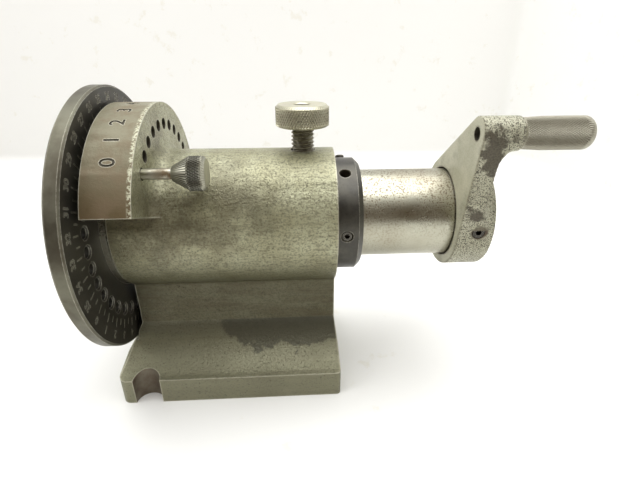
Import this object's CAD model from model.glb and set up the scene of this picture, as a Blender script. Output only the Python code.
import math

import bmesh
import bpy
from mathutils import Matrix, Vector


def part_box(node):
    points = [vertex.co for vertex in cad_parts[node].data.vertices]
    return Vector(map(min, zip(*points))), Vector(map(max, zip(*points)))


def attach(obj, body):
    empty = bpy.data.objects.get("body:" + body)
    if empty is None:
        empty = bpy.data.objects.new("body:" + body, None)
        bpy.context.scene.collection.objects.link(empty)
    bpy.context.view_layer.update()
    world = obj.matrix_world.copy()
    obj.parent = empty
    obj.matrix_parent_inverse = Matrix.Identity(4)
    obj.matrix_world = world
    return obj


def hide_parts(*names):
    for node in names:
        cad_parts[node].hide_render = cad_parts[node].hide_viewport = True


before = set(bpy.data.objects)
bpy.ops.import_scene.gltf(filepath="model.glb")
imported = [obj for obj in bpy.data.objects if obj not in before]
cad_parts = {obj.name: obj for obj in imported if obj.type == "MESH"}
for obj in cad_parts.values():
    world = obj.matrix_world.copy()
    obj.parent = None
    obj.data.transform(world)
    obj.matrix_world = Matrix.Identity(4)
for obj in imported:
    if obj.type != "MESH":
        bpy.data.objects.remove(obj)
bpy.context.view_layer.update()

# ---------------------------------------------------------------------------------------------
# The view: a close, slightly raised camera, a pale sweep to stand the fixture on, a bright
# ceiling softbox, a weaker one from the left, and a room that is darker at eye level.
camera_data = bpy.data.cameras.new("camera")
camera_data.sensor_width = 36
camera_data.lens = 23.84
camera_data.clip_start = 0.01
camera = bpy.data.objects.new("camera", camera_data)
camera.location = (0.0355, -0.2057, 0.1682)
camera.rotation_euler = (math.radians(90 - 25.01), 0, math.radians(-3.36))
bpy.context.scene.collection.objects.link(camera)
bpy.context.scene.camera = camera
bpy.context.scene.view_settings.view_transform = "Standard"


def material_with(name):
    """A new material, its node tree, and its Principled shader."""
    material = bpy.data.materials.new(name)
    material.use_nodes = True
    return material, material.node_tree, material.node_tree.nodes["Principled BSDF"]


def put(tree, kind, inputs=None, **settings):
    """Adds a shader node. An input is a plain value or another node's socket."""
    node = tree.nodes.new("ShaderNode" + kind)
    for name, value in settings.items():
        setattr(node, name, value)
    for name, value in (inputs or {}).items():
        wire(tree, node, name, value)
    return node


def wire(tree, node, name, value):
    if isinstance(value, bpy.types.NodeSocket):
        tree.links.new(value, node.inputs[name])
    else:
        node.inputs[name].default_value = value


def object_from(name, bm, *materials):
    """Turns a bmesh into an object of that name, smooth shaded between its sharp edges."""
    mesh = bpy.data.meshes.new(name)
    bm.to_mesh(mesh)
    bm.free()
    for face in mesh.polygons:
        face.use_smooth = True
    mesh.set_sharp_from_angle(angle=math.radians(32))
    piece = bpy.data.objects.new(name, mesh)
    bpy.context.scene.collection.objects.link(piece)
    for material in materials:
        mesh.materials.append(material)
    return piece


sweep_material, sweep_tree, sweep_shader = material_with("pale_sweep")
sweep_where = put(sweep_tree, "TexCoord").outputs["Object"]
sweep_noise = put(sweep_tree, "TexNoise", {"Vector": sweep_where, "Scale": 38.0, "Detail": 9.0, "Roughness": 0.68})
sweep_scuff = put(sweep_tree, "MapRange", {0: sweep_noise.outputs[0], 1: 0.60, 2: 0.66, 3: 0.0, 4: 0.35})
sweep_mix = put(sweep_tree, "Mix", {"Factor": sweep_scuff.outputs[0]}, data_type="RGBA")
sweep_mix.inputs[6].default_value = (0.84, 0.84, 0.82, 1)
sweep_mix.inputs[7].default_value = (0.70, 0.67, 0.56, 1)
sweep_tree.links.new(sweep_mix.outputs[2], sweep_shader.inputs["Base Color"])
sweep_shader.inputs["Roughness"].default_value = 0.5
sweep_bm = bmesh.new()
table_outline = [(-1.6, -0.75), (0.65, -0.75), (0.427, 0.227), (0.372, 0.468), (-1.6, 0.468)]
table_face = sweep_bm.faces.new([sweep_bm.verts.new((x, y, 0)) for x, y in table_outline])
wall_edges = [e for e in table_face.edges if all(v.co.y > -0.8 and v.co.x > -1.7 for v in e.verts)
              and max(v.co.y for v in e.verts) > 0]
wall_edges = [e for e in wall_edges if not all(v.co.x < -1.5 for v in e.verts)]
wall_verts = [v for v in bmesh.ops.extrude_edge_only(sweep_bm, edges=wall_edges)["geom"]
              if isinstance(v, bmesh.types.BMVert)]
bmesh.ops.translate(sweep_bm, vec=(0, 0, 0.4), verts=wall_verts)
bends = [e for e in sweep_bm.edges if len(e.link_faces) == 2]
bmesh.ops.bevel(sweep_bm, geom=bends, offset=0.012, affect="EDGES", segments=5, profile=0.5, material=-1)
object_from("sweep", sweep_bm, sweep_material)


def softbox(name, place, aim, width, power):
    light = bpy.data.lights.new(name, "AREA")
    light.size = width
    light.energy = power
    lamp = bpy.data.objects.new(name, light)
    lamp.location = place
    lamp.rotation_euler = (Vector(aim) - Vector(place)).to_track_quat("-Z", "Y").to_euler()
    bpy.context.scene.collection.objects.link(lamp)


softbox("ceiling_softbox", (0.08, 0.04, 0.95), (0.03, 0, 0.08), 1.0, 10)
softbox("left_softbox", (-0.8, -0.35, 0.6), (0, 0, 0.08), 0.5, 3)

room = bpy.data.worlds.new("room")
room.use_nodes = True
bpy.context.scene.world = room
room_tree = room.node_tree
room_way = put(room_tree, "TexCoord").outputs["Generated"]
room_split = put(room_tree, "SeparateXYZ", {0: room_way})
room_front = put(room_tree, "MapRange", {0: room_split.outputs["Y"], 1: -0.12, 2: -0.35, 3: 0.0, 4: 1.0})
room_level = put(room_tree, "MapRange", {0: room_split.outputs["Z"], 1: 0.84, 2: 0.56, 3: 0.0, 4: 1.0})
room_dark = put(room_tree, "Math", {0: room_front.outputs[0], 1: room_level.outputs[0]}, operation="MULTIPLY")
room_colour = put(room_tree, "Mix", {"Factor": room_dark.outputs[0]}, data_type="RGBA")
room_colour.inputs[6].default_value = (1.0, 1.0, 0.985, 1)
room_colour.inputs[7].default_value = (0.12, 0.08, 0.045, 1)
room_tree.links.new(room_colour.outputs[2], room_tree.nodes["Background"].inputs["Color"])
room_tree.nodes["Background"].inputs["Strength"].default_value = 0.95

# ---------------------------------------------------------------------------------------------
# Body: one iron casting of foot, web, barrel and vernier sector, painted grey-green all over and
# then bored, drilled and faced. The sector's rim is bare and its numbers are stamped in.
MM = 0.001
axis_height = (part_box("draw_tube")[0].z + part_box("draw_tube")[1].z) / 2
body_low, body_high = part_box("body_casting")
plate_low, plate_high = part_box("index_plate")
collar_low, collar_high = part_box("thrust_collar")
pin_low, pin_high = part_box("index_pin")
pin_y = (pin_low.y + pin_high.y) / 2
pin_z = (pin_low.z + pin_high.z) / 2 - axis_height
hole_circle = math.hypot(pin_y, pin_z)
pin_angle = math.atan2(pin_z, pin_y)
pin_radius = 2.38 * MM

barrel_radius = 33.7 * MM
barrel_start = plate_high.x + 3 * MM
barrel_end = collar_low.x - 0.3 * MM
foot_edge = 14.1 * MM
foot_crown = 18.2 * MM
foot_slope = math.radians(12)
web_half = 16.5 * MM
cove_top = 34.7 * MM
cove_break = math.radians(18)
sector_radius = body_high.z - axis_height
sector_end = barrel_start + 19.6 * MM
sector_angle = math.radians(20.7)
vernier_step = math.radians(11)
spindle_radius = 22.2 * MM
clamp_x = sum(corner.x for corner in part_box("clamp_screw")) / 2
notch_radius = 6.65 * MM


def arc(centre, radius, start, end, steps):
    """Points along an arc, from one angle to the other, as (y, z) pairs."""
    angles = [start + (end - start) * i / steps for i in range(steps + 1)]
    return [(centre[0] + radius * math.cos(a), centre[1] + radius * math.sin(a)) for a in angles]


def bar(outline, start, end):
    """A (y, z) outline about the spindle axis, drawn out along X."""
    bm = bmesh.new()
    face = bm.faces.new([bm.verts.new((start, y, axis_height + z)) for y, z in outline])
    drawn = bmesh.ops.extrude_face_region(bm, geom=[face])["geom"]
    verts = [v for v in drawn if isinstance(v, bmesh.types.BMVert)]
    bmesh.ops.translate(bm, vec=(end - start, 0, 0), verts=verts)
    bmesh.ops.recalc_face_normals(bm, faces=bm.faces)
    return bm


def turned(profile, steps=96, closed=True, angle=2 * math.pi):
    """A (radius, along) profile spun about the X axis through the origin."""
    bm = bmesh.new()
    verts = [bm.verts.new((along, radius, 0)) for radius, along in profile]
    edges = [bm.edges.new(pair) for pair in zip(verts, verts[1:])]
    if closed:
        edges.append(bm.edges.new((verts[-1], verts[0])))
    geom = verts + edges
    if angle < 2 * math.pi:
        geom.append(bm.faces.new(verts))
    bmesh.ops.spin(bm, geom=geom, cent=(0, 0, 0), axis=(1, 0, 0), dvec=(0, 0, 0),
                   angle=angle, steps=steps, use_merge=angle >= 2 * math.pi, use_duplicate=False)
    bmesh.ops.remove_doubles(bm, verts=bm.verts, dist=1e-7)
    bmesh.ops.recalc_face_normals(bm, faces=bm.faces)
    return bm


def moved(bm, matrix):
    bmesh.ops.transform(bm, matrix=matrix, verts=bm.verts)
    return bm


def on_axis(y=0.0, z=0.0, x=0.0):
    """The place of a line parallel to the spindle axis."""
    return Matrix.Translation((x, y, axis_height + z))


def outwards(x, angle):
    """Turns the X axis to point away from the spindle at that angle, starting on its axis."""
    return on_axis(x=x) @ Matrix.Rotation(angle, 4, "X") @ Matrix.Rotation(math.pi / 2, 4, "Z")


def upright(x, z=0.0):
    """Turns the X axis to point up, on the vertical line through the spindle at x."""
    return Matrix.Translation((x, 0, z)) @ Matrix.Rotation(-math.pi / 2, 4, "Y")


def rod(radius, start, end, steps=32):
    return turned([(0, start), (radius, start), (radius, end), (0, end)], steps, closed=False)


def gathered(parts):
    """Several bmeshes as one."""
    whole = bmesh.new()
    for part in parts:
        mesh = bpy.data.meshes.new("part")
        part.to_mesh(mesh)
        part.free()
        whole.from_mesh(mesh)
        bpy.data.meshes.remove(mesh)
    return whole


def baked(piece):
    """Applies a piece's modifiers to its mesh."""
    mesh = bpy.data.meshes.new_from_object(piece.evaluated_get(bpy.context.evaluated_depsgraph_get()))
    piece.modifiers.clear()
    old = piece.data
    piece.data = mesh
    bpy.data.meshes.remove(old)


def combined(piece, bm, operation, *materials):
    """Joins a tool shape to a piece, or cuts the piece with it. The cut faces take the tool's material."""
    tool = object_from("tool", bm, *materials)
    modifier = piece.modifiers.new("tool", "BOOLEAN")
    modifier.object = tool
    modifier.operation = operation
    modifier.solver = "MANIFOLD"
    modifier.material_mode = "TRANSFER"
    baked(piece)
    bpy.data.objects.remove(tool)


def taken(piece):
    """The bmesh of a helping object, which is then removed."""
    bm = bmesh.new()
    bm.from_mesh(piece.data)
    bpy.data.objects.remove(piece)
    return bm


def bevelled(piece, width, segments=3, angle=38):
    bevel = piece.modifiers.new("bevel", "BEVEL")
    bevel.width = width
    bevel.segments = segments
    bevel.limit_method = "ANGLE"
    bevel.angle_limit = math.radians(angle)
    baked(piece)


def shaded(piece, angle=32):
    for face in piece.data.polygons:
        face.use_smooth = True
    piece.data.set_sharp_from_angle(angle=math.radians(angle))


def lettering(text, height, depth, matrix):
    """Solid figures of a plain face, centred on the matrix's place and as deep each way."""
    curve = bpy.data.curves.new("lettering", "FONT")
    curve.body = text
    curve.size = height / 0.72
    curve.align_x = "CENTER"
    curve.align_y = "CENTER"
    curve.resolution_u = 3
    curve.offset = 0.014 * height
    figure = bpy.data.objects.new("lettering", curve)
    bpy.context.scene.collection.objects.link(figure)
    bpy.context.view_layer.update()
    mesh = bpy.data.meshes.new_from_object(figure.evaluated_get(bpy.context.evaluated_depsgraph_get()))
    bm = bmesh.new()
    bm.from_mesh(mesh)
    bmesh.ops.remove_doubles(bm, verts=bm.verts, dist=0.002 * height)
    bmesh.ops.dissolve_limit(bm, angle_limit=0.01, verts=bm.verts, edges=bm.edges)
    bmesh.ops.translate(bm, vec=(0, 0, -depth), verts=bm.verts)
    drawn = bmesh.ops.extrude_face_region(bm, geom=bm.faces[:])["geom"]
    bmesh.ops.translate(bm, vec=(0, 0, 2 * depth), verts=[v for v in drawn if isinstance(v, bmesh.types.BMVert)])
    bmesh.ops.recalc_face_normals(bm, faces=bm.faces)
    bpy.data.objects.remove(figure)
    bpy.data.curves.remove(curve)
    bpy.data.meshes.remove(mesh)
    return moved(bm, matrix)


def shader_group(name, inputs, outputs):
    """An empty node group with float inputs by default value, and named outputs."""
    group = bpy.data.node_groups.new(name, "ShaderNodeTree")
    for label, value in inputs.items():
        socket = group.interface.new_socket(label, in_out="INPUT", socket_type="NodeSocketFloat")
        socket.default_value = value
    for label in outputs:
        group.interface.new_socket(label, in_out="OUTPUT", socket_type="NodeSocketFloat")
    source = group.nodes.new("NodeGroupInput").outputs
    sink = group.nodes.new("NodeGroupOutput")
    return group, source, sink


# Blotches of any size: 1 inside the blotch and 0 outside it
blotch_group, blotch_in, blotch_out = shader_group(
    "blotches", {"Scale": 40, "Detail": 6, "Threshold": 0.5, "Softness": 0.08, "Seed": 0}, ["Mask"])
blotch_where = put(blotch_group, "TexCoord").outputs["Object"]
blotch_noise = put(blotch_group, "TexNoise", {
    "Vector": blotch_where, "Scale": blotch_in["Scale"], "Detail": blotch_in["Detail"],
    "W": blotch_in["Seed"], "Roughness": 0.6}, noise_dimensions="4D")
blotch_high = put(blotch_group, "Math", {0: blotch_in["Threshold"], 1: blotch_in["Softness"]}, operation="ADD")
blotch_low = put(blotch_group, "Math", {0: blotch_in["Threshold"], 1: blotch_in["Softness"]}, operation="SUBTRACT")
blotch_mask = put(blotch_group, "MapRange", {
    0: blotch_noise.outputs[0], 1: blotch_low.outputs[0], 2: blotch_high.outputs[0], 3: 0.0, 4: 1.0},
    interpolation_type="SMOOTHSTEP")
blotch_group.links.new(blotch_mask.outputs[0], blotch_out.inputs["Mask"])

# Worn edges: 1 where the surface turns a convex corner, broken up by a noise
wear_group, wear_in, wear_out = shader_group(
    "edge_wear", {"Radius": 0.8 * MM, "Scale": 300, "Reach": 0.5}, ["Mask"])
wear_bevel = put(wear_group, "Bevel", {"Radius": wear_in["Radius"]}, samples=6)
wear_normal = put(wear_group, "NewGeometry").outputs["Normal"]
wear_dot = put(wear_group, "VectorMath", {0: wear_bevel.outputs[0], 1: wear_normal}, operation="DOT_PRODUCT")
wear_turn = put(wear_group, "Math", {0: 1.0, 1: wear_dot.outputs["Value"]}, operation="SUBTRACT")
wear_where = put(wear_group, "TexCoord").outputs["Object"]
wear_noise = put(wear_group, "TexNoise", {"Vector": wear_where, "Scale": wear_in["Scale"], "Detail": 5.0})
wear_reach = put(wear_group, "Math", {0: wear_turn.outputs[0], 1: 6.0}, operation="MULTIPLY")
wear_sum = put(wear_group, "Math", {0: wear_reach.outputs[0], 1: wear_noise.outputs[0]}, operation="ADD")
wear_mask = put(wear_group, "MapRange", {0: wear_sum.outputs[0], 1: 0.62, 2: 0.9, 3: 0.0, 4: wear_in["Reach"]})
wear_corner = put(wear_group, "MapRange", {0: wear_turn.outputs[0], 1: 0.004, 2: 0.03, 3: 0.0, 4: 1.0})
wear_both = put(wear_group, "Math", {0: wear_mask.outputs[0], 1: wear_corner.outputs[0]}, operation="MULTIPLY")
wear_group.links.new(wear_both.outputs[0], wear_out.inputs["Mask"])

# Turning marks: fine rings about the spindle's direction, as a height and a brightness
ring_group, ring_in, ring_out = shader_group("turning_marks", {"Scale": 900, "Centre Y": 0, "Centre Z": 0}, ["Mark"])
ring_where = put(ring_group, "SeparateXYZ", {0: put(ring_group, "TexCoord").outputs["Object"]})
ring_y = put(ring_group, "Math", {0: ring_where.outputs["Y"], 1: ring_in["Centre Y"]}, operation="SUBTRACT")
ring_z = put(ring_group, "Math", {0: ring_where.outputs["Z"], 1: ring_in["Centre Z"]}, operation="SUBTRACT")
ring_offset = put(ring_group, "CombineXYZ", {0: ring_y.outputs[0], 1: ring_z.outputs[0]})
ring_radius = put(ring_group, "VectorMath", {0: ring_offset.outputs[0]}, operation="LENGTH")
ring_along = put(ring_group, "Math", {0: ring_where.outputs["X"], 1: ring_radius.outputs["Value"]}, operation="ADD")
ring_noise = put(ring_group, "TexNoise", {
    "W": ring_along.outputs[0], "Scale": ring_in["Scale"], "Detail": 3.0}, noise_dimensions="1D")
ring_group.links.new(ring_noise.outputs[0], ring_out.inputs["Mark"])


def grouped(tree, group, **values):
    """Places a node group and gives its first output. Input names have underscores for spaces."""
    node = tree.nodes.new("ShaderNodeGroup")
    node.node_tree = group
    for name, value in values.items():
        wire(tree, node, name.replace("_", " "), value)
    return node.outputs[0]


def blended(tree, mask, under, over):
    """The colour over laid on the colour under where the mask is 1."""
    mix = put(tree, "Mix", {"Factor": mask}, data_type="RGBA")
    wire(tree, mix, 6, under)
    wire(tree, mix, 7, over)
    return mix.outputs[2]


def weighed(tree, value, low, high):
    """A 0 to 1 value spread between two numbers."""
    return put(tree, "MapRange", {0: value, 1: 0.0, 2: 1.0, 3: low, 4: high}).outputs[0]


def less(tree, value, factor):
    return put(tree, "Math", {0: value, 1: factor}, operation="MULTIPLY").outputs[0]


def between(tree, axis, start, end):
    """0 below start and 1 beyond end, along one axis of the object."""
    where = put(tree, "SeparateXYZ", {0: put(tree, "TexCoord").outputs["Object"]})
    return put(tree, "MapRange", {0: where.outputs[axis], 1: start, 2: end, 3: 0.0, 4: 1.0},
               interpolation_type="SMOOTHSTEP").outputs[0]


def bumped(tree, shader, height, distance, strength=1.0, under=None):
    """Raises a height on the surface, over an earlier bump's normal if there is one."""
    bump = put(tree, "Bump", {"Height": height, "Distance": distance, "Strength": strength})
    if under is not None:
        tree.links.new(under, bump.inputs["Normal"])
    tree.links.new(bump.outputs["Normal"], shader.inputs["Normal"])
    return bump.outputs["Normal"]


def casting_paint(name, light, deep, bare, patch_threshold):
    """Thin old machine paint over iron: mottled, dirty in patches, pinholed, and rubbed through at the edges."""
    material, tree, shader = material_with(name)
    mottle = grouped(tree, blotch_group, Scale=55.0, Threshold=0.5, Softness=0.26)
    colour = blended(tree, mottle, light, deep)
    where = put(tree, "TexCoord").outputs["Object"]
    drawn = put(tree, "VectorMath", {0: where, 1: (0.18, 1.0, 1.0)}, operation="MULTIPLY").outputs[0]
    streak = put(tree, "TexNoise", {"Vector": drawn, "Scale": 800.0, "Detail": 5.0, "Roughness": 0.7}).outputs[0]
    streak = put(tree, "MapRange", {0: streak, 1: 0.50, 2: 0.66, 3: 0.0, 4: 0.5}).outputs[0]
    colour = blended(tree, streak, colour, (0.12, 0.108, 0.06, 1))
    grit = grouped(tree, blotch_group, Scale=1000.0, Detail=3.0, Threshold=0.55, Softness=0.08, Seed=15.0)
    colour = blended(tree, less(tree, grit, 0.55), colour, (0.10, 0.09, 0.055, 1))
    stain = put(tree, "Math", {0: between(tree, "X", 34 * MM, -16 * MM),
                               1: between(tree, "Z", axis_height + 30 * MM, axis_height + 16 * MM)},
                operation="MULTIPLY").outputs[0]
    stain = put(tree, "Math", {0: stain, 1: between(tree, "Z", axis_height - 16 * MM, axis_height + 4 * MM)},
                operation="MULTIPLY").outputs[0]
    stain_noise = grouped(tree, blotch_group, Scale=75.0, Detail=9.0, Threshold=0.47, Softness=0.10, Seed=31.0)
    stain = put(tree, "Math", {0: stain, 1: stain_noise}, operation="MULTIPLY").outputs[0]
    colour = blended(tree, less(tree, stain, 0.62), colour, (0.115, 0.095, 0.055, 1))
    patch = grouped(tree, blotch_group, Scale=22.0, Threshold=patch_threshold, Softness=0.07, Seed=3.0)
    colour = blended(tree, less(tree, patch, 0.6), colour, (0.085, 0.074, 0.04, 1))

    # Oily grime under the barrel and on the web, deepest in the crease above the cove
    low = between(tree, "Z", 84 * MM, 54 * MM)
    colour = blended(tree, less(tree, low, 0.80), colour, (0.066, 0.058, 0.028, 1))
    layered = put(tree, "VectorMath", {0: where, 1: (0.12, 1.0, 1.0)}, operation="MULTIPLY").outputs[0]
    layer = put(tree, "TexNoise", {"Vector": layered, "Scale": 260.0, "Detail": 6.0, "Roughness": 0.7}).outputs[0]
    layer = put(tree, "MapRange", {0: layer, 1: 0.45, 2: 0.65, 3: 0.0, 4: 0.6}).outputs[0]
    layer = put(tree, "Math", {0: layer, 1: between(tree, "Z", 64 * MM, 56 * MM)}, operation="MULTIPLY").outputs[0]
    colour = blended(tree, layer, colour, (0.075, 0.058, 0.03, 1))
    level = between(tree, "Z", 35.2 * MM, 34.2 * MM)
    colour = blended(tree, less(tree, level, 0.30), colour, light)
    crease = put(tree, "Math", {0: level, 1: between(tree, "Z", 24 * MM, 34 * MM)}, operation="MULTIPLY").outputs[0]
    colour = blended(tree, less(tree, crease, 0.55), colour, (0.05, 0.046, 0.028, 1))
    smear_noise = put(tree, "TexNoise", {"Vector": where, "Scale": 42.0, "Detail": 8.0, "Roughness": 0.65}).outputs[0]
    smear = put(tree, "Math", {0: less(tree, between(tree, "Z", 17 * MM, 32 * MM), 0.42), 1: smear_noise},
                operation="ADD").outputs[0]
    smear = put(tree, "Math", {0: less(tree, between(tree, "X", -26 * MM, 8 * MM), 0.42), 1: smear},
                operation="ADD").outputs[0]
    smear = put(tree, "MapRange", {0: smear, 1: 1.06, 2: 1.10, 3: 0.0, 4: 1.0}).outputs[0]
    smear = put(tree, "Math", {0: level, 1: smear}, operation="MULTIPLY").outputs[0]
    colour = blended(tree, less(tree, smear, 0.7), colour, (0.055, 0.052, 0.036, 1))

    speck = grouped(tree, blotch_group, Scale=1300.0, Detail=3.0, Threshold=0.61, Softness=0.03, Seed=5.0)
    colour = blended(tree, less(tree, speck, 0.6), colour, (0.06, 0.055, 0.035, 1))
    worn = grouped(tree, wear_group, Radius=1.1 * MM, Scale=520.0, Reach=0.85)
    colour = blended(tree, worn, colour, bare)
    tree.links.new(colour, shader.inputs["Base Color"])
    tree.links.new(weighed(tree, worn, 0.42, 0.80), shader.inputs["Metallic"])
    tree.links.new(weighed(tree, mottle, 0.30, 0.42), shader.inputs["Roughness"])
    grain = put(tree, "TexNoise", {
        "Vector": put(tree, "TexCoord").outputs["Object"], "Scale": 700.0, "Detail": 5.0, "Roughness": 0.65})
    under = bumped(tree, shader, grain.outputs[0], 0.38 * MM)
    pits = put(tree, "Math", {0: 1.0, 1: speck}, operation="SUBTRACT").outputs[0]
    bumped(tree, shader, pits, 0.08 * MM, 1.0, under)
    return material


body_paint = casting_paint(
    "body_paint", (0.44, 0.44, 0.295, 1), (0.30, 0.288, 0.17, 1), (0.50, 0.48, 0.38, 1), 0.60)

# The sector's rim, bare iron gone brown towards its lower ends
rim_iron, rim_tree, rim_shader = material_with("sector_rim_iron")
rim_colour = blended(rim_tree, between(rim_tree, "Z", axis_height + 52 * MM, axis_height + 18 * MM),
                     (0.20, 0.186, 0.118, 1), (0.115, 0.082, 0.038, 1))
rim_rust = grouped(rim_tree, blotch_group, Scale=120.0, Threshold=0.52, Softness=0.12)
rim_colour = blended(rim_tree, less(rim_tree, rim_rust, 0.5), rim_colour, (0.17, 0.12, 0.07, 1))
rim_chips = grouped(rim_tree, blotch_group, Scale=900.0, Detail=3.0, Threshold=0.50, Softness=0.05, Seed=8.0)
rim_corner = put(rim_tree, "Math", {0: rim_chips, 1: between(rim_tree, "X", sector_end - 2.2 * MM, sector_end - 1.0 * MM)},
                 operation="MULTIPLY").outputs[0]
rim_colour = blended(rim_tree, rim_corner, rim_colour, (0.52, 0.52, 0.38, 1))
rim_wear = grouped(rim_tree, wear_group, Radius=0.7 * MM, Scale=700.0, Reach=0.8)
rim_colour = blended(rim_tree, rim_wear, rim_colour, (0.55, 0.53, 0.43, 1))
rim_tree.links.new(rim_colour, rim_shader.inputs["Base Color"])
rim_shader.inputs["Metallic"].default_value = 0.25
rim_tree.links.new(weighed(rim_tree, rim_rust, 0.42, 0.6), rim_shader.inputs["Roughness"])
rim_grain = grouped(rim_tree, blotch_group, Scale=900.0, Threshold=0.5, Softness=0.2)
bumped(rim_tree, rim_shader, rim_grain, 0.05 * MM)

# Dirt in stamped figures and drilled holes
hole_dirt, dirt_tree, dirt_shader = material_with("hole_dirt")
dirt_mottle = grouped(dirt_tree, blotch_group, Scale=500.0, Threshold=0.5, Softness=0.2)
dirt_tree.links.new(blended(dirt_tree, dirt_mottle, (0.035, 0.03, 0.02, 1), (0.075, 0.065, 0.04, 1)),
                    dirt_shader.inputs["Base Color"])
dirt_shader.inputs["Metallic"].default_value = 0.3
dirt_shader.inputs["Roughness"].default_value = 0.6

# Bored and drilled iron, bare and a little stained
bored_iron, bored_tree, bored_shader = material_with("bored_iron")
bored_stain = grouped(bored_tree, blotch_group, Scale=160.0, Threshold=0.5, Softness=0.2)
bored_tree.links.new(blended(bored_tree, bored_stain, (0.20, 0.175, 0.13, 1), (0.13, 0.10, 0.07, 1)),
                     bored_shader.inputs["Base Color"])
bored_shader.inputs["Metallic"].default_value = 0.6
bored_shader.inputs["Roughness"].default_value = 0.5
bumped(bored_tree, bored_shader, grouped(bored_tree, ring_group, Scale=2500.0), 0.03 * MM)

foot_half = body_high.x
foot_side = 38.1 * MM
foot_low = -axis_height
foot_level = foot_side - (foot_crown - foot_edge) / math.tan(foot_slope)
foot_outline = [(-foot_side, foot_low), (foot_side, foot_low), (foot_side, foot_low + foot_edge),
                (foot_level, foot_low + foot_crown), (-foot_level, foot_low + foot_crown),
                (-foot_side, foot_low + foot_edge)]
foot_bm = bar(foot_outline, -foot_half, foot_half)
for side, corner in ((-1, 4.5 * MM), (1, 2.2 * MM)):
    foot_corners = [e for e in foot_bm.edges if abs(e.verts[0].co.z - e.verts[1].co.z) > foot_edge * 0.9
                    and abs(e.verts[0].co.y - e.verts[1].co.y) < MM and e.verts[0].co.x * side > foot_half - 0.1 * MM]
    bmesh.ops.bevel(foot_bm, geom=foot_corners, offset=corner, affect="EDGES", segments=6, profile=0.5, material=-1)
casting = object_from("body_casting_iron", foot_bm, body_paint)

# The web's side: up the cove from the foot's edge, then plain, then round under the barrel
throat_radius = 3.5 * MM
throat_y = web_half + throat_radius
throat_z = -math.sqrt((barrel_radius + throat_radius) ** 2 - throat_y ** 2)
throat_angle = math.atan2(throat_z, -throat_y)
toe_side = foot_side - 0.4 * MM
toe_height = foot_edge - 0.2 * MM
cove_depth = toe_side - web_half
cove_rise = cove_top - toe_height
cove_radius = (cove_depth ** 2 + cove_rise ** 2) / 2 / (
    cove_depth * math.cos(cove_break) - cove_rise * math.sin(cove_break))
cove_y = web_half + cove_radius * math.cos(cove_break)
cove_z = foot_low + cove_top + cove_radius * math.sin(cove_break)
toe_angle = math.atan2(foot_low + toe_height - cove_z, cove_y - toe_side)
cove_side = arc((-cove_y, cove_z), cove_radius, toe_angle, -cove_break, 14)
near_side = cove_side + arc((-throat_y, throat_z), throat_radius, 0, throat_angle + math.pi, 5)
web_outline = list(near_side)
web_outline += arc((0, 0), barrel_radius, throat_angle + 2 * math.pi, -math.pi - throat_angle, 84)[1:-1]
web_outline += [(-y, z) for y, z in reversed(near_side)]
buried = foot_low + foot_edge / 2
web_outline += [(toe_side, buried), (-toe_side, buried)]
combined(casting, bar(web_outline, barrel_start, barrel_end), "UNION", body_paint)

# Beyond each end of the web the cove runs on to the foot's end, and that end leans in as it rises
cove_outline = cove_side + [(-y, z) for y, z in reversed(cove_side)] + [(toe_side, buried), (-toe_side, buried)]
leaning_ends = object_from("leaning_ends", bar(cove_outline, -foot_half, foot_half), body_paint)
for side, reach in ((-1, barrel_start + foot_half), (1, foot_half - barrel_end)):
    beyond_bm = bmesh.new()
    bmesh.ops.create_cube(beyond_bm, size=1, matrix=Matrix.Translation((side * foot_half, 0, foot_edge))
                          @ Matrix.Rotation(-side * math.atan2(reach, cove_top - foot_edge), 4, "Y")
                          @ Matrix.Translation((side * 30 * MM, 0, 0))
                          @ Matrix.Diagonal((60 * MM, 160 * MM, 60 * MM, 1)))
    combined(leaning_ends, beyond_bm, "DIFFERENCE", body_paint)
plan_bm = bmesh.new()
bmesh.ops.create_cube(plan_bm, size=1, matrix=Matrix.Translation((0, 0, 30 * MM))
                      @ Matrix.Diagonal((2 * foot_half, 2 * foot_side, 60 * MM, 1)))
for side, corner in ((-1, 4.5 * MM), (1, 2.2 * MM)):
    plan_corners = [e for e in plan_bm.edges if abs(e.verts[0].co.z - e.verts[1].co.z) > MM
                    and e.verts[0].co.x * side > foot_half - 0.1 * MM]
    bmesh.ops.bevel(plan_bm, geom=plan_corners, offset=corner, affect="EDGES", segments=6, profile=0.5, material=-1)
combined(leaning_ends, plan_bm, "INTERSECT", body_paint)
plate_low, plate_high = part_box("index_plate")
plate_sweep = rod((plate_high.z - plate_low.z) / 2 + 0.8 * MM, plate_low.x - 2 * MM, plate_high.x + 0.8 * MM, 128)
combined(leaning_ends, moved(plate_sweep, on_axis()), "DIFFERENCE", body_paint)
combined(casting, taken(leaning_ends), "UNION", body_paint)

sector_outline = arc((0, 0), sector_radius, sector_angle, math.pi - sector_angle, 72)
sector_outline += arc((0, 0), spindle_radius + 2 * MM, math.pi - sector_angle, sector_angle, 36)
combined(casting, bar(sector_outline, barrel_start, sector_end), "UNION", body_paint)

# The fillet cast between the sector's face and the barrel, ending with the sector
fillet = 5.5 * MM
fillet_curve = [(barrel_radius + fillet * (1 - math.sin(a)), sector_end + fillet * (1 - math.cos(a)))
                for a in [math.radians(90 * i / 6) for i in range(7)]]
fillet_profile = fillet_curve + [(barrel_radius - 2 * MM, sector_end + fillet),
                                 (barrel_radius - 2 * MM, sector_end - 2 * MM),
                                 (barrel_radius + fillet, sector_end - 2 * MM)]
fillet_ring = object_from("fillet_ring", moved(turned(fillet_profile, 120), on_axis()), body_paint)
combined(fillet_ring, bar(sector_outline, barrel_start, sector_end + 2 * fillet), "INTERSECT", body_paint)
combined(casting, taken(fillet_ring), "UNION", body_paint)
bevelled(casting, 0.7 * MM)

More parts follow.
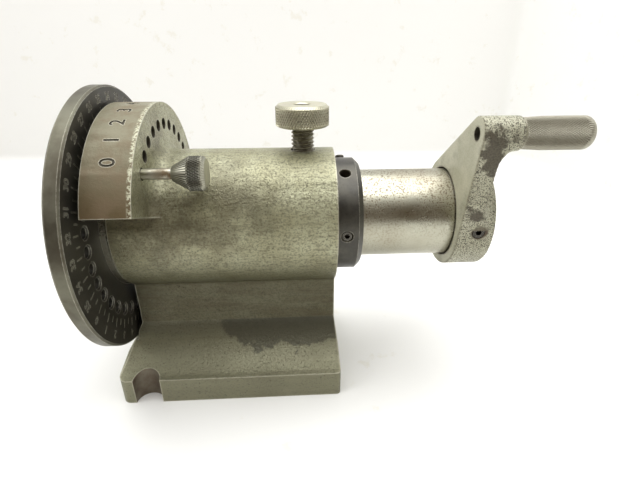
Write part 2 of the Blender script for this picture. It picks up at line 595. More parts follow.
casting_bore = rod(spindle_radius + 0.4 * MM, barrel_start - MM, barrel_end + MM, 96)
combined(casting, moved(casting_bore, on_axis()), "DIFFERENCE", bored_iron)
notches = [moved(rod(notch_radius, -MM, foot_edge + 9 * MM), upright(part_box("body_casting")[0].x + 14 * MM))
           for side in (-1, 1)]
for side, notch in zip((-1, 1), notches):
    bmesh.ops.translate(notch, vec=(0, side * foot_side, 0), verts=notch.verts)
combined(casting, gathered(notches), "DIFFERENCE", bored_iron)
clamp_hole = moved(rod(5.9 * MM, axis_height + 20 * MM, axis_height + barrel_radius + MM), upright(clamp_x))
combined(casting, clamp_hole, "DIFFERENCE", hole_dirt)
vernier_holes = []
for i in range(10):
    angle = pin_angle - i * vernier_step
    hole = turned([(0, barrel_start - MM), (pin_radius + 0.08 * MM, barrel_start - MM),
                   (pin_radius + 0.08 * MM, sector_end - 0.25 * MM),
                   (pin_radius + 1.0 * MM, sector_end + 0.6 * MM), (0, sector_end + 0.6 * MM)], 20, closed=False)
    vernier_holes.append(moved(hole, on_axis(hole_circle * math.cos(angle), hole_circle * math.sin(angle))))
combined(casting, gathered(vernier_holes), "DIFFERENCE", hole_dirt)
casting.data.materials.append(rim_iron)
rim_slot = len(casting.data.materials) - 1
for face in casting.data.polygons:
    outward = math.hypot(face.center.y, face.center.z - axis_height)
    if outward > sector_radius - 0.75 * MM and face.center.z > axis_height:
        face.material_index = rim_slot
figures = []
figure_x = sector_end - 9.5 * MM
for i in range(10):
    angle = pin_angle - i * vernier_step
    radial = Vector((0, math.cos(angle), math.sin(angle)))
    up = Vector((-1, 0, 0))
    turn = Matrix((up.cross(radial), up, radial)).transposed().to_4x4()
    place = Vector((figure_x, 0, axis_height)) + radial * sector_radius
    figures.append(lettering(str(i), 6.2 * MM, 0.38 * MM, Matrix.Translation(place) @ turn))
combined(casting, gathered(figures), "DIFFERENCE", hole_dirt)
shaded(casting)
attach(casting, "body")
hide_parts("body_casting")

# ---------------------------------------------------------------------------------------------
# Spindle: a ground steel sleeve with a nose, a flange for the index plate, and a tapered collet
# seat. It is bored out behind for the draw tube. The part between collar and crank is stained.
spindle_low, spindle_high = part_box("spindle")
nose_radius = 24 * MM
flange_radius = 33.2 * MM
flange_front = plate_low.x + 3.3 * MM
flange_back = barrel_start - 0.3 * MM
collet_bore = 15.95 * MM
collet_mouth = 18.73 * MM
taper_end = spindle_low.x + (collet_mouth - collet_bore) / math.tan(math.radians(10))
tube_low, tube_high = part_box("draw_tube")
tube_radius = (tube_high.y - tube_low.y) / 2
tube_bore = tube_radius + 0.4 * MM
tube_step = tube_low.x - 6 * MM
edge = 0.4 * MM

ground_steel, steel_tree, steel_shader = material_with("ground_steel")
steel_spots = grouped(steel_tree, blotch_group, Scale=1200.0, Detail=3.0, Threshold=0.55, Softness=0.04)
steel_dense = grouped(steel_tree, blotch_group, Scale=60.0, Threshold=0.42, Softness=0.14, Seed=13.0)
steel_up = weighed(steel_tree, between(steel_tree, "Z", axis_height - 4 * MM, axis_height + 14 * MM), 0.35, 1.0)
steel_dense = put(steel_tree, "Math", {0: steel_dense, 1: steel_up}, operation="MULTIPLY").outputs[0]
steel_spots = put(steel_tree, "Math", {0: steel_spots, 1: steel_dense}, operation="MULTIPLY").outputs[0]
steel_film = grouped(steel_tree, blotch_group, Scale=26.0, Threshold=0.52, Softness=0.16, Seed=2.0)
steel_colour = blended(steel_tree, less(steel_tree, steel_film, 0.55), (0.47, 0.462, 0.375, 1), (0.33, 0.285, 0.205, 1))
steel_colour = blended(steel_tree, less(steel_tree, steel_spots, 0.8), steel_colour, (0.16, 0.125, 0.085, 1))
steel_tree.links.new(steel_colour, steel_shader.inputs["Base Color"])
steel_shader.inputs["Metallic"].default_value = 1.0
steel_tree.links.new(weighed(steel_tree, steel_film, 0.26, 0.42), steel_shader.inputs["Roughness"])
steel_rings = grouped(steel_tree, ring_group, Scale=5200.0, Centre_Z=axis_height)
steel_under = bumped(steel_tree, steel_shader, steel_rings, 0.012 * MM)
bumped(steel_tree, steel_shader, put(steel_tree, "Math", {0: 1.0, 1: steel_spots}, operation="SUBTRACT").outputs[0],
       0.04 * MM, 1.0, steel_under)



def worn_metal(name, base, film, bright, film_scale, wear_radius, metallic=1.0, rough=0.32):
    """Metal with an oily film in patches, fine pits and scratches, and edges rubbed bright."""
    material, tree, shader = material_with(name)
    oil = grouped(tree, blotch_group, Scale=film_scale, Threshold=0.5, Softness=0.2)
    colour = blended(tree, oil, base, film)
    pits = grouped(tree, blotch_group, Scale=1500.0, Detail=2.0, Threshold=0.63, Softness=0.03, Seed=6.0)
    colour = blended(tree, less(tree, pits, 0.5), colour, (0.05, 0.042, 0.03, 1))
    worn = grouped(tree, wear_group, Radius=wear_radius, Scale=1100.0, Reach=0.8)
    tree.links.new(blended(tree, worn, colour, bright), shader.inputs["Base Color"])
    shader.inputs["Metallic"].default_value = metallic
    tree.links.new(weighed(tree, oil, rough, rough + 0.12), shader.inputs["Roughness"])
    grain = grouped(tree, blotch_group, Scale=2600.0, Detail=4.0, Threshold=0.5, Softness=0.3, Seed=9.0)
    bumped(tree, shader, grain, 0.012 * MM)
    return material


turned_steel = worn_metal("turned_steel", (0.42, 0.40, 0.35, 1), (0.27, 0.235, 0.18, 1),
                          (0.62, 0.60, 0.53, 1), 60.0, 0.3 * MM)

spindle_profile = [
    (collet_mouth, spindle_low.x + edge), (collet_mouth + edge, spindle_low.x),
    (nose_radius - 1 * MM, spindle_low.x), (nose_radius, spindle_low.x + 1 * MM), (nose_radius, flange_front),
    (flange_radius - edge, flange_front), (flange_radius, flange_front + edge),
    (flange_radius, flange_back - edge), (flange_radius - edge, flange_back), (spindle_radius, flange_back),
    (spindle_radius, spindle_high.x - edge), (spindle_radius - edge, spindle_high.x),
    (tube_bore + edge, spindle_high.x), (tube_bore, spindle_high.x - edge), (tube_bore, tube_step),
    (collet_bore, tube_step), (collet_bore, taper_end)]
spindle_sleeve = object_from("spindle_sleeve", moved(turned(spindle_profile, 128), on_axis()), ground_steel)
spindle_holes = []
for number in (1, 2, 3):
    low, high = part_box(f"index_plate_screw_{number}")
    spindle_holes.append(moved(rod(2.5 * MM, flange_front - MM, flange_back + MM, 24),
                               on_axis((low.y + high.y) / 2, (low.z + high.z) / 2 - axis_height)))
key_low, key_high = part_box("collet_key_screw")
key_x = (key_low.x + key_high.x) / 2
spindle_holes.append(moved(rod(2.5 * MM, collet_bore - 3 * MM, spindle_radius + MM, 24), outwards(key_x, math.pi / 2)))
combined(spindle_sleeve, gathered(spindle_holes), "DIFFERENCE", hole_dirt)
shaded(spindle_sleeve)
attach(spindle_sleeve, "spindle")
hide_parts("spindle")

# ---------------------------------------------------------------------------------------------
# Index plate: a blackened steel disc, drilled with 36 holes and stamped on its crank side with
# their numbers and with index lines. Its rim is rubbed bright. It is screwed to the flange.
plate_radius = (plate_high.y - plate_low.y) / 2
plate_seat = flange_radius + 0.3 * MM
plate_nose = nose_radius + 0.3 * MM

plate_black, plate_tree, plate_shader = material_with("plate_black_oxide")
plate_where = put(plate_tree, "SeparateXYZ", {0: put(plate_tree, "TexCoord").outputs["Object"]})
plate_z = put(plate_tree, "Math", {0: plate_where.outputs["Z"], 1: axis_height}, operation="SUBTRACT")
plate_offset = put(plate_tree, "CombineXYZ", {0: plate_where.outputs["Y"], 1: plate_z.outputs[0]})
plate_out = put(plate_tree, "VectorMath", {0: plate_offset.outputs[0]}, operation="LENGTH").outputs["Value"]
plate_on_rim = put(plate_tree, "MapRange", {0: plate_out, 1: plate_radius - 0.9 * MM, 2: plate_radius - 0.5 * MM,
                                            3: 0.0, 4: 1.0}).outputs[0]
plate_dust = grouped(plate_tree, blotch_group, Scale=90.0, Threshold=0.50, Softness=0.2)
plate_scratch = grouped(plate_tree, blotch_group, Scale=1100.0, Detail=2.0, Threshold=0.66, Softness=0.03, Seed=7.0)
plate_colour = blended(plate_tree, plate_dust, (0.030, 0.028, 0.022, 1), (0.055, 0.050, 0.038, 1))
plate_colour = blended(plate_tree, less(plate_tree, plate_scratch, 0.35), plate_colour, (0.16, 0.14, 0.10, 1))
plate_rub = grouped(plate_tree, blotch_group, Scale=38.0, Threshold=0.50, Softness=0.14, Seed=4.0)
plate_rim = blended(plate_tree, plate_rub, (0.175, 0.17, 0.128, 1), (0.09, 0.08, 0.058, 1))
plate_colour = blended(plate_tree, plate_on_rim, plate_colour, plate_rim)
plate_wear = grouped(plate_tree, wear_group, Radius=0.6 * MM, Scale=900.0, Reach=0.75)
plate_colour = blended(plate_tree, plate_wear, plate_colour, (0.48, 0.46, 0.38, 1))
plate_tree.links.new(plate_colour, plate_shader.inputs["Base Color"])
plate_tree.links.new(weighed(plate_tree, plate_on_rim, 0.55, 0.9), plate_shader.inputs["Metallic"])
plate_tree.links.new(weighed(plate_tree, plate_dust, 0.36, 0.50), plate_shader.inputs["Roughness"])
plate_rings = grouped(plate_tree, ring_group, Scale=3000.0, Centre_Z=axis_height)
bumped(plate_tree, plate_shader, plate_rings, 0.02 * MM)

stamped, stamped_tree, stamped_shader = material_with("stamped_marks")
stamped_rub = grouped(stamped_tree, blotch_group, Scale=300.0, Threshold=0.50, Softness=0.2)
stamped_tree.links.new(blended(stamped_tree, stamped_rub, (0.21, 0.20, 0.155, 1), (0.085, 0.08, 0.06, 1)),
                       stamped_shader.inputs["Base Color"])
stamped_shader.inputs["Metallic"].default_value = 0.3
stamped_shader.inputs["Roughness"].default_value = 0.6

rim_edge = 0.8 * MM
plate_profile = [
    (plate_nose, plate_low.x), (plate_radius - rim_edge, plate_low.x), (plate_radius, plate_low.x + rim_edge),
    (plate_radius, plate_high.x - rim_edge), (plate_radius - rim_edge, plate_high.x),
    (plate_seat, plate_high.x), (plate_seat, flange_front - 0.3 * MM), (plate_nose, flange_front - 0.3 * MM)]
plate = object_from("index_plate_disc", moved(turned(plate_profile, 180), on_axis()), plate_black)
plate_holes = []
for i in range(36):
    angle = pin_angle + math.radians(10 * i)
    sink = 0.7 * MM
    wide = pin_radius + 0.08 * MM
    hole = turned([(0, plate_low.x - MM), (wide + sink + MM, plate_low.x - MM), (wide, plate_low.x + sink),
                   (wide, plate_high.x - sink), (wide + sink + MM, plate_high.x + MM), (0, plate_high.x + MM)],
                  20, closed=False)
    plate_holes.append(moved(hole, on_axis(hole_circle * math.cos(angle), hole_circle * math.sin(angle))))
combined(plate, gathered(plate_holes), "DIFFERENCE", plate_black)

plate_screw_circle = (nose_radius + flange_radius) / 2 + 0.4 * MM
plate_screw_angles = [math.radians(degrees) for degrees in (90, 210, 330)]
sinks = []
for angle in plate_screw_angles:
    sink_bm = turned([(0, plate_low.x - MM), (5.0 * MM, plate_low.x - MM), (4.5 * MM, plate_low.x),
                      (2.6 * MM, plate_low.x + 2 * MM), (2.6 * MM, plate_high.x), (0, plate_high.x)], 32, closed=False)
    sinks.append(moved(sink_bm, on_axis(plate_screw_circle * math.cos(angle), plate_screw_circle * math.sin(angle))))
combined(plate, gathered(sinks), "DIFFERENCE", plate_black)

# Number 29 stands at the pin; the lines start just outside the holes, every second one shorter
marks = []
number_height = 3.4 * MM
for i in range(72):
    angle = pin_angle + math.radians(5 * i)
    radial = Vector((0, math.cos(angle), math.sin(angle)))
    right = radial.cross(Vector((1, 0, 0)))
    turn = Matrix((right, radial, (1, 0, 0))).transposed().to_4x4()
    start = plate_high.x * Vector((1, 0, 0)) + Vector((0, 0, axis_height))
    length = (4.0 if i % 2 == 0 else 2.6) * MM
    line = bmesh.new()
    bmesh.ops.create_cube(line, size=1, matrix=Matrix.Diagonal((0.34 * MM, length, 0.44 * MM, 1)))
    marks.append(moved(line, Matrix.Translation(start + radial * (51 * MM + length / 2)) @ turn))
    if i % 2 == 0:
        number = str((29 + i // 2) % 36)
        marks.append(lettering(number, number_height, 0.22 * MM, Matrix.Translation(start + radial * 58.4 * MM) @ turn))
combined(plate, gathered(marks), "DIFFERENCE", stamped)
shaded(plate)
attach(plate, "spindle")
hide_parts("index_plate")

# The plate's three countersunk socket screws
screw_black = worn_metal("socket_screw_black", (0.045, 0.042, 0.036, 1), (0.085, 0.078, 0.065, 1),
                         (0.50, 0.48, 0.42, 1), 600.0, 0.25 * MM, 0.8)


def socket_screw(name, outline, across, depth, matrix):
    """A turned screw whose top, at the end of its outline, has a hexagon socket. It points along +X."""
    top = outline[-1][1]
    bottom = top - depth
    bm = turned([(0, outline[0][1])] + outline + [(across / 2, top), (across / 2, bottom), (0, bottom)], 24, closed=False)
    for v in bm.verts:
        reach = math.hypot(v.co.y, v.co.z)
        if abs(reach - across / 2) < 1e-6 and v.co.x >= bottom - 1e-6:
            turn = math.atan2(v.co.z, v.co.y) % math.radians(60) - math.radians(30)
            v.co.y /= math.cos(turn)
            v.co.z /= math.cos(turn)
    return object_from(name, moved(bm, matrix), screw_black)


for number, angle in enumerate(plate_screw_angles, 1):
    head = plate_low.x + 0.1 * MM
    outline = [(2.4 * MM, -(barrel_start - 0.8 * MM)), (2.4 * MM, -(head + 1.7 * MM)), (4.1 * MM, -head)]
    back = Matrix.Rotation(math.pi, 4, "Z")
    place = on_axis(plate_screw_circle * math.cos(angle), plate_screw_circle * math.sin(angle))
    plate_screw = socket_screw(f"plate_screw_{number}", outline, 3.2 * MM, 1.8 * MM, place @ back)
    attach(plate_screw, "spindle")
    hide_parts(f"index_plate_screw_{number}")

# ---------------------------------------------------------------------------------------------
# Thrust collar: a blackened ring that takes up the spindle's end play, with a bevelled crank side
# and three tapped holes. One screw is flush, one stands proud, and the middle hole is empty.
collar_radius = (collar_high.y - collar_low.y) / 2
collar_chamfer = 2.4 * MM
collar_black = worn_metal("collar_black_oxide", (0.055, 0.053, 0.047, 1), (0.095, 0.09, 0.075, 1),
                          (0.52, 0.50, 0.42, 1), 130.0, 0.45 * MM, 0.75)

collar_profile = [
    (spindle_radius + 0.12 * MM, collar_low.x), (collar_radius - edge, collar_low.x), (collar_radius, collar_low.x + edge),
    (collar_radius, collar_high.x - collar_chamfer), (collar_radius - collar_chamfer, collar_high.x),
    (spindle_radius + 0.5 * MM, collar_high.x), (spindle_radius + 0.12 * MM, collar_high.x - edge)]
collar = object_from("thrust_collar_ring", moved(turned(collar_profile, 128), on_axis()), collar_black)
collar_screw_x = (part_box("collar_set_screw_1")[0].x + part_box("collar_set_screw_1")[1].x) / 2
collar_screw_angles = [math.radians(degrees) for degrees in (182, 118, 62)]
tapped_holes = []
for angle in collar_screw_angles:
    tapped = turned([(0, spindle_radius - MM), (2.5 * MM, spindle_radius - MM), (2.5 * MM, collar_radius - 0.5 * MM),
                     (3.5 * MM, collar_radius + 0.5 * MM), (0, collar_radius + 0.5 * MM)], 28, closed=False)
    tapped_holes.append(moved(tapped, outwards(collar_screw_x, angle)))
combined(collar, gathered(tapped_holes), "DIFFERENCE", hole_dirt)
shaded(collar)
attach(collar, "spindle")
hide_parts("thrust_collar")


def set_screw(name, radius, inner, outer, matrix):
    """A headless screw with a cup point inwards, a thread, and a socket outwards."""
    rows = max(int((outer - inner) / (0.2 * MM)), 4)
    side = [(radius, inner + 0.3 * MM + (outer - inner - 0.6 * MM) * i / rows) for i in range(rows + 1)]
    outline = [(radius * 0.6, inner), *side, (radius - 0.25 * MM, outer)]
    screw = socket_screw(name, outline, radius * 1.05, radius, Matrix.Identity(4))
    for v in screw.data.vertices:
        reach = math.hypot(v.co.y, v.co.z)
        if abs(reach - radius) < 1e-6:
            wave = (v.co.x / (0.79 * MM) - math.atan2(v.co.z, v.co.y) / (2 * math.pi)) % 1
            reach = radius - 0.28 * MM * (1 - abs(2 * wave - 1))
            v.co.y *= reach / radius
            v.co.z *= reach / radius
    screw.data.transform(matrix)
    return screw


collar_screw_tops = (collar_radius - 0.4 * MM, collar_radius + 1.8 * MM)
for number, (angle, top) in enumerate(zip((collar_screw_angles[0], collar_screw_angles[2]), collar_screw_tops), 1):
    seat = spindle_radius + 0.1 * MM
    collar_screw = set_screw(f"collar_screw_{number}", 2.4 * MM, seat, top, outwards(collar_screw_x, angle))
    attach(collar_screw, "spindle")
    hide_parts(f"collar_set_screw_{number}")

# ---------------------------------------------------------------------------------------------
# Collet key: a small screw through the spindle's wall whose plain tip stands in the bore and
# keeps the collet from turning.
key_screw = set_screw("collet_key", 2.4 * MM, key_low.z - axis_height, key_high.z - axis_height,
                      outwards(key_x, math.pi / 2))
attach(key_screw, "spindle")
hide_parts("collet_key_screw")

# ---------------------------------------------------------------------------------------------
# Draw tube: a long steel tube inside the spindle, threaded inside its front end for the collet
# and fixed in the crank's hub at the other.
thread_length = 20 * MM
thread_pitch = 1.27 * MM
thread_rows = 64
tube_inner = 16.1 * MM
tube_thread = [(15.4 * MM, tube_low.x + edge + thread_length * (1 - i / thread_rows)) for i in range(thread_rows + 1)]
tube_profile = [
    (15.8 * MM, tube_low.x), (tube_radius - edge, tube_low.x), (tube_radius, tube_low.x + edge),
    (tube_radius, tube_high.x - edge), (tube_radius - edge, tube_high.x), (tube_inner + edge, tube_high.x),
    (tube_inner, tube_high.x - edge), (tube_inner, tube_low.x + thread_length + 2 * edge), *tube_thread]
tube_bm = turned(tube_profile, 96)
for v in tube_bm.verts:
    reach = math.hypot(v.co.y, v.co.z)
    if reach < 15.5 * MM:
        wave = (v.co.x / thread_pitch - math.atan2(v.co.z, v.co.y) / (2 * math.pi)) % 1
        scale = (reach + 0.5 * MM * (1 - abs(2 * wave - 1))) / reach
        v.co.y *= scale
        v.co.z *= scale
tube = object_from("draw_tube_bar", moved(tube_bm, on_axis()), turned_steel)
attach(tube, "crank")
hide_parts("draw_tube")

# ---------------------------------------------------------------------------------------------
# Crank: a painted iron casting, a thin arm between hub and grip boss with wide fillets to both,
# worn brown along its edges. It is counterbored over the spindle's end and pinned to the tube.
crank_low, crank_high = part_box("crank_arm")
grip_low, grip_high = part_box("crank_grip")
boss_y = (grip_low.y + grip_high.y) / 2
boss_z = (grip_low.z + grip_high.z) / 2 - axis_height
crank_throw = math.hypot(boss_y, boss_z)
crank_angle = math.atan2(boss_z, boss_y)
hub_radius = 27.6 * MM
hub_edge = 1.6 * MM
arm_face = crank_low.x + 9.4 * MM
boss_radius = 7.3 * MM
boss_end = grip_low.x - 0.3 * MM

crank_paint, crank_tree, crank_shader = material_with("crank_paint")
crank_mottle = grouped(crank_tree, blotch_group, Scale=70.0, Threshold=0.5, Softness=0.2)
crank_colour = blended(crank_tree, crank_mottle, (0.52, 0.51, 0.385, 1), (0.41, 0.40, 0.29, 1))
crank_facing = put(crank_tree, "SeparateXYZ", {0: put(crank_tree, "NewGeometry").outputs["Normal"]}).outputs["X"]
crank_sides = put(crank_tree, "MapRange", {0: crank_facing, 1: -0.92, 2: -0.55, 3: 0.22, 4: 1.0}).outputs[0]
crank_patch = grouped(crank_tree, blotch_group, Scale=60.0, Detail=9.0, Threshold=0.57, Softness=0.03, Seed=11.0)
crank_patch = put(crank_tree, "Math", {0: crank_patch, 1: crank_sides}, operation="MULTIPLY").outputs[0]
crank_colour = blended(crank_tree, less(crank_tree, crank_patch, 0.95), crank_colour, (0.085, 0.07, 0.045, 1))
crank_speck = grouped(crank_tree, blotch_group, Scale=1700.0, Detail=3.0, Threshold=0.53, Softness=0.04, Seed=5.0)
crank_speck = put(crank_tree, "Math", {0: crank_speck, 1: crank_sides}, operation="MULTIPLY").outputs[0]
crank_colour = blended(crank_tree, less(crank_tree, crank_speck, 0.9), crank_colour, (0.06, 0.053, 0.033, 1))
crank_worn = grouped(crank_tree, wear_group, Radius=1.6 * MM, Scale=260.0, Reach=0.9)
crank_colour = blended(crank_tree, crank_worn, crank_colour, (0.135, 0.115, 0.078, 1))
crank_tree.links.new(crank_colour, crank_shader.inputs["Base Color"])
crank_tree.links.new(weighed(crank_tree, crank_worn, 0.25, 0.6), crank_shader.inputs["Metallic"])
crank_tree.links.new(weighed(crank_tree, crank_mottle, 0.42, 0.55), crank_shader.inputs["Roughness"])
crank_grain = put(crank_tree, "TexNoise", {
    "Vector": put(crank_tree, "TexCoord").outputs["Object"], "Scale": 620.0, "Detail": 5.0, "Roughness": 0.65})
crank_under = bumped(crank_tree, crank_shader, crank_grain.outputs[0], 0.18 * MM)
crank_pits = put(crank_tree, "Math", {0: 1.0, 1: crank_speck}, operation="SUBTRACT").outputs[0]
bumped(crank_tree, crank_shader, crank_pits, 0.1 * MM, 1.0, crank_under)

hub_profile = [(0, crank_low.x), (hub_radius - hub_edge, crank_low.x), (hub_radius, crank_low.x + hub_edge),
               (hub_radius, crank_high.x - hub_edge), (hub_radius - hub_edge, crank_high.x), (0, crank_high.x)]
crank = object_from("crank_casting", moved(turned(hub_profile, 96, closed=False), on_axis()), crank_paint)
flank = math.acos((hub_radius - boss_radius) / crank_throw)
arm_outline = arc((0, 0), hub_radius - 0.02 * MM, crank_angle + flank, crank_angle + 2 * math.pi - flank, 60)
arm_outline += arc((boss_y, boss_z), boss_radius, crank_angle - flank, crank_angle + flank, 20)
combined(crank, bar(arm_outline, crank_low.x + 0.02 * MM, arm_face), "UNION", crank_paint)
combined(crank, moved(rod(boss_radius - 0.02 * MM, crank_low.x + 0.3 * MM, boss_end, 48), on_axis(boss_y, boss_z)),
         "UNION", crank_paint)
for centre_y, centre_z, radius, sweep in ((0, 0, hub_radius, 8 * MM), (boss_y, boss_z, boss_radius, 7 * MM)):
    gusset_profile = [(radius + sweep * (1 - math.sin(a)), arm_face + sweep * (1 - math.cos(a)))
                      for a in [math.radians(90 * i / 8) for i in range(9)]]
    gusset_profile += [(radius - 2 * MM, arm_face + sweep), (radius - 2 * MM, arm_face - 2 * MM),
                       (radius + sweep, arm_face - 2 * MM)]
    gusset = object_from("gusset", moved(turned(gusset_profile, 96), on_axis(centre_y, centre_z)), crank_paint)
    combined(gusset, bar(arm_outline, arm_face - 3 * MM, arm_face + 9 * MM), "INTERSECT", crank_paint)
    combined(crank, taken(gusset), "UNION", crank_paint)
remesh = crank.modifiers.new("remesh", "REMESH")
remesh.mode = "VOXEL"
remesh.voxel_size = 0.5 * MM
smooth = crank.modifiers.new("smooth", "SMOOTH")
smooth.factor = 0.5
smooth.iterations = 2
baked(crank)

crank_screw_x = sum(corner.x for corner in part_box("crank_set_screw")) / 2
crank_screw_angle = math.radians(182)
crank_bore = turned([(0, crank_low.x - MM), (23 * MM, crank_low.x - MM), (23 * MM, spindle_high.x + 0.3 * MM),
                     (tube_radius + 0.3 * MM, spindle_high.x + 0.3 * MM), (tube_radius + 0.3 * MM, crank_high.x - 0.6 * MM),
                     (tube_radius + 2 * MM, crank_high.x + MM), (0, crank_high.x + MM)], 96, closed=False)
stud_hole = rod(2.85 * MM, crank_low.x - MM, boss_end + MM, 32)
screw_hole = turned([(0, tube_radius - MM), (3.1 * MM, tube_radius - MM), (3.1 * MM, hub_radius - 0.3 * MM),
                     (4.2 * MM, hub_radius + 0.8 * MM), (0, hub_radius + 0.8 * MM)], 32, closed=False)
crank_tools = [moved(crank_bore, on_axis()), moved(screw_hole, outwards(crank_screw_x, crank_screw_angle))]
for tool in crank_tools:
    combined(crank, tool, "DIFFERENCE", bored_iron)
combined(crank, moved(stud_hole, on_axis(boss_y, boss_z)), "DIFFERENCE", hole_dirt)
shaded(crank, 40)
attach(crank, "crank")
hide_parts("crank_arm")

crank_screw = set_screw("crank_screw", 2.85 * MM, tube_radius + 0.3 * MM, hub_radius - 0.3 * MM,
                        outwards(crank_screw_x, crank_screw_angle))
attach(crank_screw, "crank")
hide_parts("crank_set_screw")


def threaded(bm, radius, pitch, depth):
    """Winds a thread into the close rows of vertices at that radius."""
    for v in bm.verts:
        reach = math.hypot(v.co.y, v.co.z)
        if abs(reach - radius) < 1e-6:
            wave = (v.co.x / pitch - math.atan2(v.co.z, v.co.y) / (2 * math.pi)) % 1
            scale = 1 - depth * (1 - abs(2 * wave - 1)) / radius
            v.co.y *= scale
            v.co.z *= scale
    return bm


def rows(radius, start, end, count):
    return [(radius, start + (end - start) * i / count) for i in range(count + 1)]


stud_low, stud_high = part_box("grip_stud")
stud_radius = 2.55 * MM
stud_bm = turned([(0, stud_low.x), (stud_radius * 0.8, stud_low.x),
                  *rows(stud_radius, stud_low.x + 0.5 * MM, stud_high.x - 0.5 * MM, 200),
                  (stud_radius * 0.8, stud_high.x), (0, stud_high.x)], 24, closed=False)
stud = object_from("grip_stud_bar", moved(threaded(stud_bm, stud_radius, 1.27 * MM, 0.4 * MM), on_axis(boss_y, boss_z)),
                   turned_steel)
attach(stud, "crank")
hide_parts("grip_stud")

# ---------------------------------------------------------------------------------------------
# Grip: a short knurled steel handle screwed on the stud, slimmer at the boss and round at its end.
grip_radius = (grip_high.y - grip_low.y) / 2
def knurled(bm, count, start, row, steps, inner, depth):
    """Presses a diamond knurl into rows of vertices: every second one goes in, and the quads fold between."""
    pressed = set()
    for v in bm.verts:
        step = (v.co.x - start) / row
        reach = math.hypot(v.co.y, v.co.z)
        place = round(math.atan2(v.co.z, v.co.y) * count / math.pi) + round(step)
        if reach > inner and -0.01 < step < steps + 0.01 and place % 2:
            v.co.y *= 1 - depth / reach
            v.co.z *= 1 - depth / reach
            pressed.add(v)
    for face in bm.faces[:]:
        low = [v for v in face.verts if v in pressed]
        if len(face.verts) == 4 and len(low) == 2:
            bmesh.utils.face_split(face, low[0], low[1])
    return bm


def knurl_metal(name, peak, plain, groove, metallic, rough):
    """Knurled steel: rubbed bright on the diamonds' points and dark with dirt in the grooves."""
    material, tree, shader = material_with(name)
    corner = put(tree, "NewGeometry").outputs["Pointiness"]
    out = put(tree, "MapRange", {0: corner, 1: 0.513, 2: 0.55, 3: 0.0, 4: 1.0}).outputs[0]
    into = put(tree, "MapRange", {0: corner, 1: 0.50, 2: 0.47, 3: 0.0, 4: 1.0}).outputs[0]
    rubbed = grouped(tree, blotch_group, Scale=110.0, Threshold=0.5, Softness=0.2)
    high = blended(tree, less(tree, rubbed, 0.4), peak, plain)
    scratched = grouped(tree, blotch_group, Scale=900.0, Detail=4.0, Threshold=0.56, Softness=0.06, Seed=17.0)
    flat = blended(tree, less(tree, scratched, 0.5), plain, groove)
    colour = blended(tree, out, flat, high)
    tree.links.new(blended(tree, into, colour, groove), shader.inputs["Base Color"])
    shader.inputs["Metallic"].default_value = metallic
    tree.links.new(weighed(tree, out, rough + 0.1, rough), shader.inputs["Roughness"])
    grain = grouped(tree, blotch_group, Scale=2600.0, Detail=4.0, Threshold=0.5, Softness=0.3, Seed=9.0)
    bumped(tree, shader, grain, 0.012 * MM)
    return material


grip_steel = knurl_metal("grip_steel", (0.50, 0.48, 0.39, 1), (0.32, 0.305, 0.245, 1), (0.17, 0.155, 0.12, 1), 0.85, 0.36)
grip_row = 0.72 * MM
grip_start = grip_low.x + 0.5 * MM
grip_crown = 3.4 * MM
grip_steps = int((grip_high.x - grip_crown - grip_start) / grip_row)
grip_rows = [(grip_radius - 0.55 * MM * max(0, 1 - i * grip_row / (9 * MM)), grip_start + i * grip_row)
             for i in range(grip_steps + 1)]
grip_end_curve = [(grip_radius - grip_crown * (1 - math.cos(a)), grip_high.x - grip_crown * (1 - math.sin(a)))
                  for a in [math.radians(90 * i / 7) for i in range(1, 8)]]
grip_profile = [(0, stud_high.x + 0.3 * MM), (2.85 * MM, stud_high.x + 0.3 * MM), (2.85 * MM, grip_low.x),
                (grip_radius - 1.1 * MM, grip_low.x), *grip_rows, *grip_end_curve, (0, grip_high.x)]
grip_bm = knurled(turned(grip_profile, 96, closed=False), 48, grip_start, grip_row, grip_steps, 5 * MM, 0.32 * MM)
grip = object_from("crank_grip_bar", moved(grip_bm, on_axis(boss_y, boss_z)), grip_steel)
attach(grip, "crank")
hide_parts("crank_grip")

# ---------------------------------------------------------------------------------------------
# Index pin: a plain steel rod with a chamfered tip, rusty near its knob. The knob is pressed on:
# a smooth dark cone, a knurled band, and a plain chamfered end.
pin_steel, pin_tree, pin_shader = material_with("pin_steel")
pin_rust = grouped(pin_tree, blotch_group, Scale=240.0, Threshold=0.50, Softness=0.12)
pin_near = between(pin_tree, "X", pin_high.x - 22 * MM, pin_high.x - 10 * MM)
pin_cover = put(pin_tree, "Math", {0: pin_rust, 1: pin_near}, operation="MULTIPLY").outputs[0]
pin_tree.links.new(blended(pin_tree, pin_cover, (0.43, 0.42, 0.345, 1), (0.15, 0.105, 0.055, 1)),
                   pin_shader.inputs["Base Color"])
pin_tree.links.new(weighed(pin_tree, pin_cover, 1.0, 0.3), pin_shader.inputs["Metallic"])
pin_tree.links.new(weighed(pin_tree, pin_cover, 0.28, 0.62), pin_shader.inputs["Roughness"])
bumped(pin_tree, pin_shader, pin_rust, 0.03 * MM)

pin_rod_radius = (pin_high.y - pin_low.y) / 2
pin_bm = turned([(0, pin_low.x), (pin_rod_radius * 0.6, pin_low.x), (pin_rod_radius, pin_low.x + 1.2 * MM),
                 (pin_rod_radius, pin_high.x), (0, pin_high.x)], 48, closed=False)
pin = object_from("index_pin_rod", moved(pin_bm, on_axis(pin_y, pin_z)), pin_steel)
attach(pin, "index_pin")
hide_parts("index_pin")

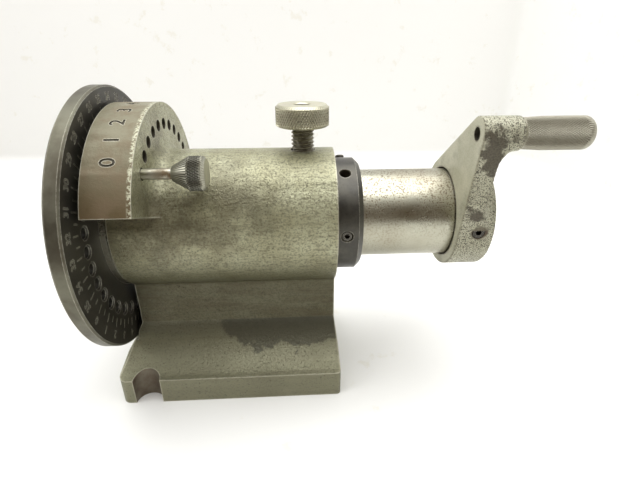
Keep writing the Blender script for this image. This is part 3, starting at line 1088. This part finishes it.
knob_low, knob_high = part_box("index_pin_knob")
knob_radius = (knob_high.y - knob_low.y) / 2
knob_black = knurl_metal("knob_black", (0.46, 0.45, 0.36, 1), (0.06, 0.058, 0.046, 1), (0.03, 0.028, 0.022, 1), 0.8, 0.32)
knob_row = 0.95 * MM
knob_cone = knob_high.x - 7.1 * MM
knob_start = knob_cone + 0.2 * MM
knob_profile = [(pin_rod_radius + 0.05 * MM, knob_low.x), (3.0 * MM, knob_low.x), (3.3 * MM, knob_low.x + 0.3 * MM),
                (knob_radius - 0.25 * MM, knob_cone), *rows(knob_radius, knob_start, knob_start + 6 * knob_row, 6),
                (knob_radius - 1.2 * MM, knob_high.x), (0, knob_high.x), (0, pin_high.x + 0.05 * MM),
                (pin_rod_radius + 0.05 * MM, pin_high.x + 0.05 * MM)]
knob_bm = knurled(turned(knob_profile, 80), 40, knob_start, knob_row, 6, knob_radius - 0.1 * MM, 0.42 * MM)
knob = object_from("index_pin_grip", moved(knob_bm, on_axis(pin_y, pin_z)), knob_black)
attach(knob, "index_pin")
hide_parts("index_pin_knob")

# ---------------------------------------------------------------------------------------------
# Spindle clamp: a brass pad that rests on the spindle, pressed by a threaded steel screw whose
# knurled head is fixed on a slotted spigot.
pad_low, pad_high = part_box("clamp_pad")
pad_radius = (pad_high.x - pad_low.x) / 2
pad_brass = worn_metal("pad_brass", (0.55, 0.38, 0.14, 1), (0.33, 0.22, 0.09, 1), (0.75, 0.58, 0.28, 1),
                       200.0, 0.4 * MM)
pad_bm = turned([(0, pad_low.z), (pad_radius - edge, pad_low.z), (pad_radius, pad_low.z + edge),
                 (pad_radius, pad_high.z - edge), (pad_radius - edge, pad_high.z), (0, pad_high.z)], 48, closed=False)
pad = object_from("clamp_pad_disc", moved(pad_bm, upright(clamp_x)), pad_brass)
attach(pad, "clamp_pad")
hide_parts("clamp_pad")

thread_steel = worn_metal("thread_steel", (0.30, 0.285, 0.23, 1), (0.13, 0.115, 0.08, 1), (0.56, 0.54, 0.46, 1),
                          180.0, 0.25 * MM)
screw_low, screw_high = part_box("clamp_screw")
head_low, head_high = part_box("clamp_screw_head")
clamp_thread = 5.55 * MM
spigot = 3.6 * MM
thread_top = head_low.z - 0.3 * MM
screw_bm = turned([(0, screw_low.z), (clamp_thread * 0.75, screw_low.z),
                   *rows(clamp_thread, screw_low.z + MM, thread_top - 0.2 * MM, 88), (clamp_thread - MM, thread_top),
                   (spigot, thread_top), (spigot, screw_high.z - 0.3 * MM), (spigot - 0.3 * MM, screw_high.z),
                   (0, screw_high.z)], 48, closed=False)
threaded(screw_bm, clamp_thread, 1.8143 * MM, 1.0 * MM)
clamp_screw = object_from("clamp_screw_bar", moved(screw_bm, upright(clamp_x)), thread_steel)
slot_bm = bmesh.new()
bmesh.ops.create_cube(slot_bm, size=1, matrix=Matrix.Translation((clamp_x, 0, screw_high.z))
                      @ Matrix.Diagonal((9 * MM, 1.3 * MM, 2.4 * MM, 1)))
combined(clamp_screw, slot_bm, "DIFFERENCE", hole_dirt)
shaded(clamp_screw)
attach(clamp_screw, "clamp_screw")
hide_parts("clamp_screw")

head_radius = (head_high.x - head_low.x) / 2
head_steel = knurl_metal("clamp_head_steel", (0.62, 0.60, 0.46, 1), (0.38, 0.36, 0.27, 1), (0.055, 0.048, 0.03, 1), 0.85, 0.34)
head_row = 1.15 * MM
head_knurl = head_low.z + 0.7 * MM
head_top = head_knurl + 7 * head_row
head_profile = [(3.9 * MM, head_low.z), (head_radius - 1.1 * MM, head_low.z),
                *rows(head_radius, head_knurl, head_top, 7), (head_radius - 0.6 * MM, head_top + 0.35 * MM),
                (head_radius - 1.3 * MM, head_high.z), (4.3 * MM, head_high.z), (3.9 * MM, head_high.z - 0.4 * MM)]
head_bm = knurled(turned(head_profile, 120), 60, head_knurl, head_row, 7, head_radius - 0.1 * MM, 0.55 * MM)
head = object_from("clamp_head", moved(head_bm, upright(clamp_x)), head_steel)
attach(head, "clamp_screw")
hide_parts("clamp_screw_head")
